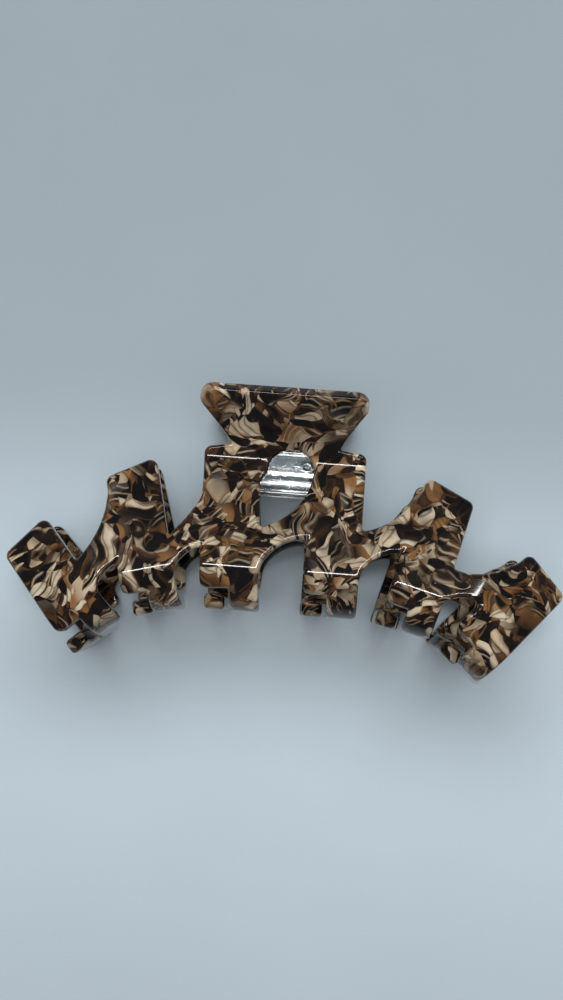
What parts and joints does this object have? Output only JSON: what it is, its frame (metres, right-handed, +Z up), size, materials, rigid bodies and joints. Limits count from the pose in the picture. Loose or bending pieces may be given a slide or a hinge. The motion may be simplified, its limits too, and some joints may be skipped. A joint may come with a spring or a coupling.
{
  "type": "claw clip",
  "caption": "Wide sprung claw clip with two bent, lobed acetate jaws whose teeth interlock, joined by clear knuckles on a steel hinge pin.",
  "frame": {"origin": "middle of the clip's box, on the surface that it lies on", "axes": "+Z up through the closed clip from the rear jaw to the front jaw, +X along the clip to its right-hand end, +Y from the teeth to the handles"},
  "size_m": [0.1132, 0.0574, 0.0352],
  "materials": {
    "acetate": "polished cellulose acetate sheet with a mosaic of dark brown, caramel and cream chips",
    "clear_resin": "clear moulded resin, glossy",
    "pin_steel": "drawn stainless pin",
    "spring_steel": "bright spring wire"
  },
  "bodies": {
    "rear_half": {"rear_jaw": "acetate", "left_knuckle": "clear_resin", "right_knuckle": "clear_resin", "hinge_pin": "pin_steel", "pin_retainer": "pin_steel", "left_spring": "spring_steel", "right_spring": "spring_steel"},
    "front_half": {"front_jaw": "acetate", "middle_knuckle": "clear_resin"}
  },
  "joints": [
    {"name": "jaw_hinge", "type": "hinge", "parent": "rear_half", "child": "front_half", "pos_m": [0, 0.00962, 0.0176], "axis": [-1, 0, 0], "range_deg": [0, 50], "stiffness_Nm_per_rad": 0.08, "springref_deg": -34.38, "deforming": ["left_spring", "right_spring"]}
  ]
}
